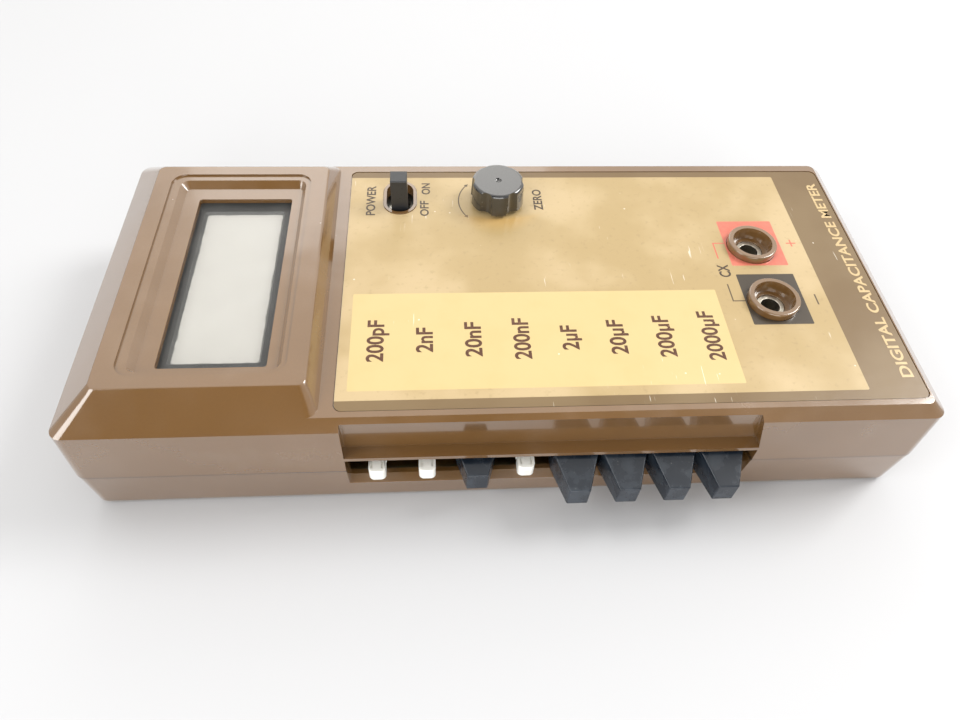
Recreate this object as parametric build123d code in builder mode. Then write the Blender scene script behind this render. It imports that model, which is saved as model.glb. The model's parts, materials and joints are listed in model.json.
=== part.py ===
"""Hand-held digital capacitance meter in a two-shell plastic case, in millimetres.

The origin is the centre of the underside. +Z is up, the display is at the -X end and the
row of eight interlocked range keys comes out of the -Y (front) side. Every piece is its own
solid in its own STEP file; a group of identical pieces shares one file.
"""
import os

from build123d import *

os.makedirs("parts", exist_ok=True)

# --- case, overall ----------------------------------------------------------------------
CASE_LENGTH = 170.0      # at the ridge round the top of the walls
CASE_WIDTH = 78.0
SEAM_Z = 12.4            # where the two shells meet
WALL_TOP_Z = 26.0        # top of the side walls
PANEL_Z = 27.8           # flat top with the label
PLATEAU_Z = 31.6         # top of the raised display end
CORNER_R = 2.6
PANEL_CORNER_R = 1.4
SEAM_FLARE = (0.8, 0.5)  # how far the walls lean out at the seam, at the ends and at the sides
SEAM_STEP = 0.1          # the lower shell is this much smaller all round
BASE_FLARE = (0.4, -0.5)
BASE_FILLET = 1.6
WALL = 2.6               # from the ridge outline in to the hollow
FLOOR = 2.2
PANEL_THICKNESS = 2.6
SEAM_GAP = 0.1

LEFT = -CASE_LENGTH / 2
RIGHT = CASE_LENGTH / 2
FRONT = -CASE_WIDTH / 2
BACK = CASE_WIDTH / 2
CEILING_Z = PANEL_Z - PANEL_THICKNESS

# --- raised display end -----------------------------------------------------------------
BLOCK_LENGTH = 49.4      # along X at the top of the walls
BLOCK_INSET = 7.2        # run of its slopes on the left, front and back
BLOCK_RIGHT_RUN = 3.2    # run of the steeper slope down to the panel
BLOCK_TOP_R = 1.6
BLOCK_FILLET = 0.7
SLOPE = BLOCK_INSET / (PLATEAU_Z - WALL_TOP_Z)
PANEL_INSET = SLOPE * (PANEL_Z - WALL_TOP_Z)

SURROUND_CENTRE = (LEFT + 26.6, 0.0)
SURROUND_SIZE = (31.6, 57.8)
STEP_Z = PLATEAU_Z - 0.4
DISH_OUTER = ((LEFT + 12.8, LEFT + 41.3), (-27.9, 27.2))
DISH_INNER = ((LEFT + 14.1, LEFT + 40.3), (-27.4, 25.6))
DISH_Z = PLATEAU_Z - 1.7
WINDOW_X = (LEFT + 17.5, LEFT + 38.3)
WINDOW_Y = (-26.2, 22.1)
WINDOW_R = 0.6
POCKET_X = (LEFT + 9.0, LEFT + 44.0)
POCKET_HALF_Y = 30.4
POCKET_Z = PLATEAU_Z - 2.8

# --- display stack, from the window down ------------------------------------------------
LENS_THICKNESS = 0.8
LENS_FLANGE = 1.8
BEZEL_FACE = 0.6         # plastic left over the edge of the glass
VIEW_X = (LEFT + 19.2, LEFT + 36.0)
VIEW_Y = (-23.3, 19.5)
VIEW_BEVEL = 0.5
GLASS_MARGIN = (5.6, 4.2)
GLASS_THICKNESS = 2.2
ZEBRA_HEIGHT = 2.3
ZEBRA_WIDTH = 2.0
BOARD_T = 1.6
BEZEL_WALL = 1.2
DISPLAY_BOARD_X = (LEFT + 12.0, LEFT + 44.0)
DISPLAY_BOARD_HALF_Y = 35.2
DISPLAY_SCREWS = [(LEFT + 16.0, y) for y in (-33.0, 33.0)] + [(LEFT + 40.0, y) for y in (-33.0, 33.0)]
LENS_Z = POCKET_Z - LENS_THICKNESS
GLASS_TOP_Z = LENS_Z - BEZEL_FACE
DISPLAY_BOARD_Z = GLASS_TOP_Z - GLASS_THICKNESS - ZEBRA_HEIGHT - BOARD_T

# --- range keys -------------------------------------------------------------------------
KEY_COUNT = 8
KEY_PITCH = 10.0
KEY_FIRST_X = -26.7
KEY_Z = 11.3
KEY_TRAVEL = 4.0
KEY_X = [KEY_FIRST_X + KEY_PITCH * i for i in range(KEY_COUNT)]
CAPPED = (3, 5, 6, 7, 8)      # the other three plungers have lost their caps
LATCHED = 3                   # the key that is held in
PLUNGER = 3.4                 # square section
PLUNGER_TIP_Y = FRONT - 1.0
PLUNGER_TIP_R = 1.0
PLUNGER_LENGTH = 23.0
SLIDE_GAP = 0.15
LUG = 1.2
LUG_HEIGHT = 1.5
LUG_BEHIND_TIP = 14.8
CAP_BACK_WIDTH = 9.2
CAP_FRONT_WIDTH = 4.2
CAP_FRONT_Y = FRONT - 7.0
CAP_SHOULDER_Y = FRONT + 1.0
CAP_BACK_Y = FRONT + 3.6
CAP_BOTTOM_Z = KEY_Z - 3.1
CAP_FRONT_TOP_Z = KEY_Z + 2.3
CAP_BACK_TOP_Z = KEY_Z + 3.9
CAP_FIT = 0.05
CAP_FILLET = 0.35

# --- recess and opening for the keys ----------------------------------------------------
OPENING_X = (KEY_X[0] - 5.7, KEY_X[-1] + 6.4)
OPENING_Z = (KEY_Z - 3.5, KEY_Z + 4.9)
MOUTH_SIDE = 0.4              # how far the mouth widens at the outside, at its ends and below
MOUTH_BELOW = 1.8
LIP_THICKNESS = 0.9
RECESS_LOWER = (OPENING_X[0] - 0.4, OPENING_X[1] + 0.3)
RECESS_UPPER = (OPENING_X[0] - 0.4, OPENING_X[1] - 2.2)
RECESS_DEPTH = 2.4            # at the lip
RECESS_TOP_DEPTH = 1.1        # where it meets the panel's bevel
BACKING_Y = FRONT + 4.6
LIP_TOP_Z = OPENING_Z[1] + LIP_THICKNESS

# --- range switch behind the keys -------------------------------------------------------
FRAME_CLEARANCE = 0.6         # left behind a cap that is held in
FRAME_Y = CAP_BACK_Y + KEY_TRAVEL + FRAME_CLEARANCE
FRAME_T = 1.0
FRAME_MARGIN = 9.5
HOUSING_WIDTH = 9.4
HOUSING_LENGTH = 24.0
HOUSING_HEIGHT = 10.2
HOUSING_WALL = 1.2
BAR_THICKNESS = 1.0
BAR_WIDTH = 8.0
BAR_TRAVEL = 1.2
BAR_GAP = 0.3
SPRING_WIRE = 0.4
SPRING_COIL = 2.9             # mean diameter
SPRING_TURNS = 7
HOUSING_Y0 = FRAME_Y + FRAME_T
HOUSING_Y1 = HOUSING_Y0 + HOUSING_LENGTH
SPRING_END_Y = HOUSING_Y1 - HOUSING_WALL
PLUNGER_TOP_Z = KEY_Z + PLUNGER / 2
BAR_Z = PLUNGER_TOP_Z + BAR_GAP
LUG_Y = PLUNGER_TIP_Y + LUG_BEHIND_TIP
WINDOW_Y0 = LUG_Y - LUG / 2 - 0.6
WINDOW_Y1 = LUG_Y + KEY_TRAVEL + LUG / 2 + 0.6
BAR_Y = (WINDOW_Y0 + WINDOW_Y1) / 2
BAR_X = (KEY_X[0] - 5.5, KEY_X[-1] + 5.5)

# --- boards -----------------------------------------------------------------------------
BOARD_Z = 4.2
BOARD_X = (LEFT + 38.0, RIGHT - 12.0)
BOARD_Y = (FRONT + 7.5, BACK - 4.5)
BOARD_TOP_Z = BOARD_Z + BOARD_T
BOARD_SCREWS = [(BOARD_X[0] + 3.5, BOARD_Y[1] - 3.5), (BOARD_X[1] - 3.5, BOARD_Y[1] - 3.5),
                (BOARD_X[1] - 3.5, BOARD_Y[0] + 3.5), (BOARD_X[0] + 3.5, BOARD_Y[0] + 3.5)]
CONTROL_Z = 16.0
CONTROL_X = (-34.0, 14.0)
CONTROL_Y = (BACK - 26.0, BACK - 4.5)
CONTROL_TOP_Z = CONTROL_Z + BOARD_T
CONTROL_SCREWS = [(CONTROL_X[0] + 2.8, CONTROL_Y[1] - 3.0), (CONTROL_X[1] - 2.6, CONTROL_Y[1] - 3.0)]
SMALL_SCREW_D = 2.4
SMALL_HEAD_D = 4.6
SMALL_HEAD_H = 1.5
SMALL_SCREW_REACH = 4.8
SMALL_BOSS_D = 5.6
THREAD_FIT = 0.02

# --- case screws ------------------------------------------------------------------------
CASE_SCREW_INSET = (7.5, 7.2)
CASE_SCREWS = [(sx * (RIGHT - CASE_SCREW_INSET[0]), sy * (BACK - CASE_SCREW_INSET[1]))
               for sx in (-1, 1) for sy in (-1, 1)]
CASE_BOSS_D = 7.0
CASE_SCREW_D = 2.9
CASE_SCREW_HEAD_D = 5.6
CASE_SCREW_HEAD_H = 2.0
CASE_SCREW_SINK = 4.0         # height of the seat that the head bears on
CASE_SCREW_LENGTH = 14.0

# --- controls on the panel --------------------------------------------------------------
KNOB_CENTRE = (0.7, BACK - 15.3)
KNOB_BASE_D = 12.6
KNOB_TOP_D = 12.0
KNOB_HEIGHT = 5.4
KNOB_EDGE_R = 0.7
KNOB_DIMPLE_R = 1.0
KNOB_DIMPLE_DEPTH = 0.4
KNOB_GAP = 0.7
KNOB_FLUTES = 6
KNOB_FLUTE_D = 4.4
KNOB_FLUTE_DEPTH = 0.7
SHAFT_D = 6.0
SHAFT_FIT = 0.06
POT_D = 15.0
POT_HEIGHT = 6.4
SLOT_CENTRE = (-22.2, BACK - 13.9)
SLOT_WIDTH = 6.3
SLOT_LENGTH = 10.4
SLOT_RIM = 0.7
LEVER = (3.8, 3.9)
LEVER_TOP_Z = PANEL_Z + 7.9
LEVER_REST_Y = SLOT_CENTRE[1] - 2.25
LEVER_TRAVEL = 4.6
CARRIAGE = (6.4, 6.4, 3.4)
SWITCH_BODY = (12.0, 18.0, 5.8)
SWITCH_WALL = 0.8

# --- sockets ----------------------------------------------------------------------------
SOCKETS = {"positive_socket": (RIGHT - 26.85, 7.5), "negative_socket": (RIGHT - 26.85, -9.4)}
COLLAR_D = 11.0
COLLAR_HEIGHT = 1.5
COLLAR_MOUTH_D = 8.8
COLLAR_TAPER = 0.35
COLLAR_EDGE_R = 0.35
COLLAR_LEDGE_DROP = 1.2
SOCKET_D = 6.0
SOCKET_BORE_D = 4.1
SOCKET_BORE_LENGTH = 12.0
SOCKET_LENGTH = 14.0
SOCKET_FIT = 0.05
SOCKET_TAIL_D = 2.0
SOCKET_BOSS_D = 12.0
SOCKET_BOSS_DEPTH = 3.0
NUT_FLATS = 9.0
NUT_HEIGHT = 2.6
SOCKET_TOP_Z = PANEL_Z - COLLAR_LEDGE_DROP - 0.3

# --- label ------------------------------------------------------------------------------
LABEL_X = (LEFT + 51.0, RIGHT - 2.6)
LABEL_Y = (FRONT + 3.6, BACK - 4.4)
LABEL_R = 1.6
LABEL_DEPTH = 0.4
LABEL_THICKNESS = 0.3
LABEL_GAP = 0.15
LABEL_FLOOR_Z = PANEL_Z - LABEL_DEPTH

# --- battery ----------------------------------------------------------------------------
BATTERY = (26.5, 46.4, 17.5)
BATTERY_X0 = LEFT + 5.7
BATTERY_Y0 = -25.0
BATTERY_Z0 = 3.1
TERMINAL_D = 5.6
TERMINAL_HEIGHT = 2.2
TERMINAL_SPACING = 12.7
SNAP_THICKNESS = 3.8
PAD_THICKNESS = 1.1
DOOR_LENGTH = 33.0
DOOR_HALF_WIDTH = 26.2
DOOR_Z = (0.3, 1.9)
DOOR_GAP = 0.3
DOOR_END_X = LEFT - BASE_FLARE[0] + 0.1
DOOR_LIP_TOP_Z = 3.9
TONGUE = 1.3
TONGUE_Z = (1.0, 1.5)
TONGUE_GAP = 0.2
RIB = 1.4
RIB_TOP_Z = 12.0
LEAD_D = 1.2
LEAD_ABOVE_SNAP_CENTRE = 3.0
LEAD_BEND = 0.45              # bend radius over the shorter of the lead's two runs
LEAD_END_X = BOARD_X[0] + 6.5


# --- helpers, used inside a BuildPart block ---------------------------------------------
def block(x, y, z, mode=Mode.ADD):
    """A box between two corners, given as (low, high) pairs."""
    with Locations(((x[0] + x[1]) / 2, (y[0] + y[1]) / 2, (z[0] + z[1]) / 2)):
        Box(x[1] - x[0], y[1] - y[0], z[1] - z[0], mode=mode)


def rounded_outline(x, y, radius):
    with Locations(((x[0] + x[1]) / 2, (y[0] + y[1]) / 2)):
        RectangleRounded(x[1] - x[0], y[1] - y[0], radius)


def slab(x, y, z, radius, mode=Mode.ADD):
    """A prism with rounded vertical edges."""
    with BuildSketch(Plane.XY.offset(z[0])) as profile:
        rounded_outline(x, y, radius)
    extrude(profile.sketch, amount=z[1] - z[0], mode=mode)


def frustum(low, high, mode=Mode.ADD):
    """A loft between two rounded rectangles, each (x, y, z, radius)."""
    sections = []
    for x, y, z, radius in (low, high):
        with BuildSketch(Plane.XY.offset(z)) as profile:
            rounded_outline(x, y, radius)
        sections.append(profile.sketch)
    loft(sections, mode=mode)


def posts(points, diameter, z, mode=Mode.ADD):
    """Round posts, or holes, of one diameter between two heights."""
    with Locations([(px, py, (z[0] + z[1]) / 2) for px, py in points]):
        Cylinder(diameter / 2, z[1] - z[0], mode=mode)


def outline(ends, sides):
    """The case outline at its ridge, grown by an amount at the ends and one at the sides."""
    return (LEFT - ends, RIGHT + ends), (FRONT - sides, BACK + sides)


def key_opening():
    """The slot that the keys come out of, with its mouth widened below and at the ends."""
    block(OPENING_X, (FRONT - 3, BACKING_Y + 1), OPENING_Z, Mode.SUBTRACT)
    mouth = []
    for y, side, below in ((FRONT - 0.8, MOUTH_SIDE, MOUTH_BELOW), (FRONT + 1.6, 0, 0)):
        middle = ((OPENING_X[0] + OPENING_X[1]) / 2, (OPENING_Z[0] - below + OPENING_Z[1]) / 2)
        with BuildSketch(Plane.XZ.offset(-y)) as section:
            with Locations(middle):
                Rectangle(OPENING_X[1] - OPENING_X[0] + 2 * side, OPENING_Z[1] - OPENING_Z[0] + below)
        mouth.append(section.sketch)
    loft(mouth, mode=Mode.SUBTRACT)


def keep(builder, name):
    builder.part.label = name
    export_step(builder.part, f"parts/{name}.step")


# --- upper case -------------------------------------------------------------------------
with BuildPart() as upper_case:
    frustum((*outline(*SEAM_FLARE), SEAM_Z, CORNER_R + 0.5), (*outline(0, 0), WALL_TOP_Z, CORNER_R))
    behind_block = LEFT + BLOCK_LENGTH - 9.4
    frustum(((behind_block, RIGHT), (FRONT, BACK), WALL_TOP_Z, CORNER_R),
            ((behind_block + PANEL_INSET, RIGHT - PANEL_INSET),
             (FRONT + PANEL_INSET, BACK - PANEL_INSET), PANEL_Z, PANEL_CORNER_R))
    frustum(((LEFT, LEFT + BLOCK_LENGTH), (FRONT, BACK), WALL_TOP_Z, CORNER_R),
            ((LEFT + BLOCK_INSET, LEFT + BLOCK_LENGTH - BLOCK_RIGHT_RUN),
             (FRONT + BLOCK_INSET, BACK - BLOCK_INSET), PLATEAU_Z, BLOCK_TOP_R))
    fillet(upper_case.edges().group_by(Axis.Z)[-1], BLOCK_FILLET)
    # hollow inside, with a thicker wall behind the key recess
    slab(*outline(-WALL, -WALL), (SEAM_Z, CEILING_Z), 2.0, Mode.SUBTRACT)
    slab(POCKET_X, (-POCKET_HALF_Y, POCKET_HALF_Y), (CEILING_Z, POCKET_Z), 1.0, Mode.SUBTRACT)
    block((RECESS_LOWER[0] - 3, RECESS_LOWER[1] + 3), (FRONT + WALL - 0.6, BACKING_Y),
          (SEAM_Z, CEILING_Z + 0.2))
    frustum((RECESS_LOWER, (FRONT - 3, FRONT + RECESS_DEPTH), LIP_TOP_Z, 0.2),
            (RECESS_UPPER, (FRONT - 3, FRONT + RECESS_TOP_DEPTH), PANEL_Z + 0.4, 0.2), Mode.SUBTRACT)
    key_opening()
    # stepped surround, dished ledge and window of the display
    with BuildSketch(Plane.XY.offset(STEP_Z)):
        with Locations(SURROUND_CENTRE):
            RectangleRounded(*SURROUND_SIZE, 3.0)
    extrude(amount=PLATEAU_Z - STEP_Z + 1, mode=Mode.SUBTRACT)
    frustum((*DISH_INNER, DISH_Z, 0.8), (*DISH_OUTER, STEP_Z, 2.0), Mode.SUBTRACT)
    slab(WINDOW_X, WINDOW_Y, (POCKET_Z - 1, DISH_Z + 1), WINDOW_R, Mode.SUBTRACT)
    # recess for the label, then the collars that stand through it
    slab(LABEL_X, LABEL_Y, (LABEL_FLOOR_Z, PANEL_Z + 1), LABEL_R, Mode.SUBTRACT)
    posts(SOCKETS.values(), COLLAR_D, (LABEL_FLOOR_Z - 0.5, PANEL_Z + COLLAR_HEIGHT))
    fillet(upper_case.edges().filter_by(GeomType.CIRCLE).filter_by(
        lambda e: abs(e.center().Z - PANEL_Z - COLLAR_HEIGHT) < 0.01), COLLAR_EDGE_R)
    posts(SOCKETS.values(), SOCKET_BOSS_D, (CEILING_Z - SOCKET_BOSS_DEPTH, CEILING_Z + 0.5))
    ledge_z = PANEL_Z - COLLAR_LEDGE_DROP
    mouth_depth = PANEL_Z + COLLAR_HEIGHT - ledge_z
    with Locations([(px, py, ledge_z + mouth_depth / 2) for px, py in SOCKETS.values()]):
        Cone(COLLAR_MOUTH_D / 2 - COLLAR_TAPER, COLLAR_MOUTH_D / 2, mouth_depth, mode=Mode.SUBTRACT)
    posts(SOCKETS.values(), SOCKET_D + 2 * SOCKET_FIT,
          (CEILING_Z - SOCKET_BOSS_DEPTH - 1, ledge_z + 1), Mode.SUBTRACT)
    with BuildSketch(Plane.XY.offset(LABEL_FLOOR_Z - 0.3)):
        with Locations(SLOT_CENTRE):
            SlotOverall(SLOT_LENGTH + 2 * SLOT_RIM, SLOT_WIDTH + 2 * SLOT_RIM, rotation=90)
    extrude(amount=PANEL_Z + 0.1 - LABEL_FLOOR_Z + 0.3)
    with BuildSketch(Plane.XY.offset(CEILING_Z - 1)):
        with Locations(SLOT_CENTRE):
            SlotOverall(SLOT_LENGTH, SLOT_WIDTH, rotation=90)
    extrude(amount=PANEL_Z - CEILING_Z + 3, mode=Mode.SUBTRACT)
    posts([KNOB_CENTRE], SHAFT_D + 1.2, (CEILING_Z - 1, PANEL_Z + 1), Mode.SUBTRACT)
    # screw bosses
    posts(CASE_SCREWS, CASE_BOSS_D, (SEAM_Z, CEILING_Z + 0.3))
    posts(CASE_SCREWS, CASE_SCREW_D + 2 * THREAD_FIT, (SEAM_Z - 1, CASE_SCREW_SINK + CASE_SCREW_LENGTH + 1),
          Mode.SUBTRACT)
    for points, underside in ((DISPLAY_SCREWS, DISPLAY_BOARD_Z), (CONTROL_SCREWS, CONTROL_Z)):
        posts(points, SMALL_BOSS_D, (underside + BOARD_T, CEILING_Z + 0.3))
        posts(points, SMALL_SCREW_D + 2 * THREAD_FIT, (underside, underside + SMALL_SCREW_REACH + 0.2),
              Mode.SUBTRACT)
keep(upper_case, "upper_case")

# --- lower case -------------------------------------------------------------------------
DOOR_INNER_X = DOOR_END_X + DOOR_LENGTH
with BuildPart() as lower_case:
    seam_top = SEAM_Z - SEAM_GAP
    seam_outline = outline(SEAM_FLARE[0] - SEAM_STEP, SEAM_FLARE[1] - SEAM_STEP)
    frustum((*outline(*BASE_FLARE), 0, CORNER_R), (*seam_outline, seam_top, CORNER_R + 0.4))
    fillet(lower_case.edges().group_by(Axis.Z)[0], BASE_FILLET)
    slab(*outline(-WALL, -WALL), (FLOOR, seam_top + 1), 2.0, Mode.SUBTRACT)
    # battery compartment ribs
    rib_y = DOOR_HALF_WIDTH + DOOR_GAP
    bay_x = (LEFT + WALL - 0.3, DOOR_INNER_X + DOOR_GAP + RIB)
    block(bay_x, (-rib_y - RIB, -rib_y), (FLOOR - 0.3, RIB_TOP_Z))
    block(bay_x, (rib_y, rib_y + RIB), (FLOOR - 0.3, RIB_TOP_Z))
    block((DOOR_INNER_X + DOOR_GAP, bay_x[1]), (-rib_y, 19.0), (FLOOR - 0.3, RIB_TOP_Z))
    # doorway through the floor and the end wall, with a groove each side for the tongues
    block((LEFT - 2, DOOR_INNER_X + DOOR_GAP), (-rib_y, rib_y), (-1, FLOOR + 0.1), Mode.SUBTRACT)
    block((LEFT - 2, DOOR_END_X + 4.5), (-rib_y, rib_y), (-1, DOOR_LIP_TOP_Z + DOOR_GAP), Mode.SUBTRACT)
    groove_y = DOOR_HALF_WIDTH + TONGUE + DOOR_GAP
    block((LEFT - 2, DOOR_INNER_X + DOOR_GAP), (-groove_y, groove_y),
          (TONGUE_Z[0] - TONGUE_GAP, TONGUE_Z[1] + TONGUE_GAP), Mode.SUBTRACT)
    key_opening()
    # bosses for the case screws and the main board
    posts(CASE_SCREWS, CASE_BOSS_D, (FLOOR - 0.3, SEAM_Z))
    posts(CASE_SCREWS, CASE_SCREW_D + 0.4, (-1, SEAM_Z + 1), Mode.SUBTRACT)
    posts(CASE_SCREWS, CASE_SCREW_HEAD_D + 0.6, (-1, CASE_SCREW_SINK), Mode.SUBTRACT)
    posts(BOARD_SCREWS, SMALL_BOSS_D, (FLOOR - 0.3, BOARD_Z))
    posts(BOARD_SCREWS, SMALL_SCREW_D + 2 * THREAD_FIT,
          (BOARD_TOP_Z - SMALL_SCREW_REACH - 0.2, BOARD_Z + 1), Mode.SUBTRACT)
keep(lower_case, "lower_case")

# --- label ------------------------------------------------------------------------------
with BuildPart() as front_label:
    slab((LABEL_X[0] + LABEL_GAP, LABEL_X[1] - LABEL_GAP), (LABEL_Y[0] + LABEL_GAP, LABEL_Y[1] - LABEL_GAP),
         (LABEL_FLOOR_Z, LABEL_FLOOR_Z + LABEL_THICKNESS), LABEL_R)
    posts(SOCKETS.values(), COLLAR_D + 0.2, (LABEL_FLOOR_Z - 1, PANEL_Z + 1), Mode.SUBTRACT)
    posts([KNOB_CENTRE], SHAFT_D + 1.6, (LABEL_FLOOR_Z - 1, PANEL_Z + 1), Mode.SUBTRACT)
    with BuildSketch(Plane.XY.offset(LABEL_FLOOR_Z - 1)):
        with Locations(SLOT_CENTRE):
            SlotOverall(SLOT_LENGTH + 2 * SLOT_RIM + 0.2, SLOT_WIDTH + 2 * SLOT_RIM + 0.2, rotation=90)
    extrude(amount=3, mode=Mode.SUBTRACT)
keep(front_label, "front_label")

# --- display stack ----------------------------------------------------------------------
glass_x = (VIEW_X[0] - GLASS_MARGIN[0], VIEW_X[1] + GLASS_MARGIN[0])
glass_y = (VIEW_Y[0] - GLASS_MARGIN[1], VIEW_Y[1] + GLASS_MARGIN[1])
bezel_x = (glass_x[0] - BEZEL_WALL, glass_x[1] + BEZEL_WALL)
bezel_y = (glass_y[0] - BEZEL_WALL, glass_y[1] + BEZEL_WALL)
glass_bottom_z = GLASS_TOP_Z - GLASS_THICKNESS
display_board_top_z = DISPLAY_BOARD_Z + BOARD_T

with BuildPart() as display_window:
    slab((WINDOW_X[0] - LENS_FLANGE, WINDOW_X[1] + LENS_FLANGE),
         (WINDOW_Y[0] - LENS_FLANGE, WINDOW_Y[1] + LENS_FLANGE), (LENS_Z, POCKET_Z), 1.0)
keep(display_window, "display_window")

with BuildPart() as display_bezel:
    slab(bezel_x, bezel_y, (display_board_top_z, LENS_Z), 1.0)
    slab(glass_x, glass_y, (display_board_top_z - 1, GLASS_TOP_Z), 0.3, Mode.SUBTRACT)
    view_mouth = [(low - VIEW_BEVEL, high + VIEW_BEVEL) for low, high in (VIEW_X, VIEW_Y)]
    frustum((VIEW_X, VIEW_Y, GLASS_TOP_Z - 0.1, 0.3), (*view_mouth, LENS_Z, 0.5), Mode.SUBTRACT)
keep(display_bezel, "display_bezel")

with BuildPart() as lcd_glass:
    play = 0.1
    block((glass_x[0] + play, glass_x[1] - play), (glass_y[0] + play, glass_y[1] - play),
          (glass_bottom_z, GLASS_TOP_Z))
    chamfer(lcd_glass.edges().filter_by(Axis.Z), 0.3)
keep(lcd_glass, "lcd_glass")

with BuildPart() as zebra_strips:
    for x in (glass_x[0] + 1.2, glass_x[1] - 1.2 - ZEBRA_WIDTH):
        block((x, x + ZEBRA_WIDTH), (glass_y[0] + 1, glass_y[1] - 1), (display_board_top_z, glass_bottom_z))
keep(zebra_strips, "zebra_strips")

with BuildPart() as display_board:
    slab(DISPLAY_BOARD_X, (-DISPLAY_BOARD_HALF_Y, DISPLAY_BOARD_HALF_Y),
         (DISPLAY_BOARD_Z, display_board_top_z), 1.0)
    posts(DISPLAY_SCREWS, SMALL_SCREW_D + 0.3, (DISPLAY_BOARD_Z - 1, display_board_top_z + 1), Mode.SUBTRACT)
keep(display_board, "display_board")

RIBBON_X = DISPLAY_BOARD_X[1] - 3.0
RIBBON_WIRES = 12
RIBBON_PITCH = 1.27
with BuildPart() as display_ribbon:
    height = DISPLAY_BOARD_Z - BOARD_TOP_Z
    with GridLocations(0, RIBBON_PITCH, 1, RIBBON_WIRES):
        with Locations((RIBBON_X, 0, BOARD_TOP_Z + height / 2)):
            Cylinder(RIBBON_PITCH * 0.53, height)
keep(display_ribbon, "display_ribbon")

# --- boards -----------------------------------------------------------------------------
HEADER_PITCH = 2.54
HEADER_PINS = 10
HEADER_Y = CONTROL_Y[0] + 1.8
header_points = [((CONTROL_X[0] + CONTROL_X[1]) / 2 + HEADER_PITCH * (i - (HEADER_PINS - 1) / 2), HEADER_Y)
                 for i in range(HEADER_PINS)]
PIN_D = 0.64
SWITCH_PIN_ROWS = [HOUSING_Y0 + 5.0 + 3.5 * i for i in range(5)]
switch_pins_points = [(x + dx, y) for x in KEY_X for dx in (-2.5, 2.5) for y in SWITCH_PIN_ROWS]

with BuildPart() as main_board:
    slab(BOARD_X, BOARD_Y, (BOARD_Z, BOARD_TOP_Z), 1.5)
    posts(BOARD_SCREWS, SMALL_SCREW_D + 0.3, (BOARD_Z - 1, BOARD_TOP_Z + 1), Mode.SUBTRACT)
    posts(SOCKETS.values(), SOCKET_TAIL_D + 0.3, (BOARD_Z - 1, BOARD_TOP_Z + 1), Mode.SUBTRACT)
    posts(switch_pins_points + header_points, PIN_D + 0.2, (BOARD_Z - 1, BOARD_TOP_Z + 1), Mode.SUBTRACT)
keep(main_board, "main_board")

with BuildPart() as control_board:
    slab(CONTROL_X, CONTROL_Y, (CONTROL_Z, CONTROL_TOP_Z), 1.0)
    posts(CONTROL_SCREWS, SMALL_SCREW_D + 0.3, (CONTROL_Z - 1, CONTROL_TOP_Z + 1), Mode.SUBTRACT)
    posts(header_points, PIN_D + 0.2, (CONTROL_Z - 1, CONTROL_TOP_Z + 1), Mode.SUBTRACT)
keep(control_board, "control_board")

with BuildPart() as board_header:
    strip_x = (header_points[0][0] - HEADER_PITCH / 2, header_points[-1][0] + HEADER_PITCH / 2)
    strip_y = (HEADER_Y - HEADER_PITCH / 2, HEADER_Y + HEADER_PITCH / 2)
    block(strip_x, strip_y, (BOARD_TOP_Z, BOARD_TOP_Z + HEADER_PITCH))
    block(strip_x, strip_y, (CONTROL_Z - HEADER_PITCH, CONTROL_Z))
    with Locations([(px, py, (BOARD_Z - 0.8 + CONTROL_TOP_Z + 0.8) / 2) for px, py in header_points]):
        Box(PIN_D * 0.7, PIN_D * 0.7, CONTROL_TOP_Z - BOARD_Z + 1.6)
keep(board_header, "board_header")

# --- power switch -----------------------------------------------------------------------
switch_x = (SLOT_CENTRE[0] - SWITCH_BODY[0] / 2, SLOT_CENTRE[0] + SWITCH_BODY[0] / 2)
switch_y = (SLOT_CENTRE[1] - SWITCH_BODY[1] / 2, SLOT_CENTRE[1] + SWITCH_BODY[1] / 2)
switch_z = (CONTROL_TOP_Z, CONTROL_TOP_Z + SWITCH_BODY[2])
with BuildPart() as power_switch_body:
    block(switch_x, switch_y, switch_z)
    run = CARRIAGE[1] + LEVER_TRAVEL + 0.8
    middle = LEVER_REST_Y + LEVER_TRAVEL / 2
    block((SLOT_CENTRE[0] - CARRIAGE[0] / 2 - 0.3, SLOT_CENTRE[0] + CARRIAGE[0] / 2 + 0.3),
          (middle - run / 2, middle + run / 2),
          (switch_z[0] + SWITCH_WALL, switch_z[1] - SWITCH_WALL), Mode.SUBTRACT)
    opening = LEVER[1] + LEVER_TRAVEL + 0.8
    block((SLOT_CENTRE[0] - LEVER[0] / 2 - 0.4, SLOT_CENTRE[0] + LEVER[0] / 2 + 0.4),
          (middle - opening / 2, middle + opening / 2), (switch_z[0] + 2, switch_z[1] + 1), Mode.SUBTRACT)
keep(power_switch_body, "power_switch_body")

with BuildPart() as power_switch_lever:
    base_z = switch_z[0] + SWITCH_WALL + 0.3
    block((SLOT_CENTRE[0] - CARRIAGE[0] / 2, SLOT_CENTRE[0] + CARRIAGE[0] / 2),
          (LEVER_REST_Y - CARRIAGE[1] / 2, LEVER_REST_Y + CARRIAGE[1] / 2), (base_z, base_z + CARRIAGE[2]))
    block((SLOT_CENTRE[0] - LEVER[0] / 2, SLOT_CENTRE[0] + LEVER[0] / 2),
          (LEVER_REST_Y - LEVER[1] / 2, LEVER_REST_Y + LEVER[1] / 2), (base_z + 1, LEVER_TOP_Z))
    fillet(power_switch_lever.edges().group_by(Axis.Z)[-1], 0.25)
keep(power_switch_lever, "power_switch_lever")

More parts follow.
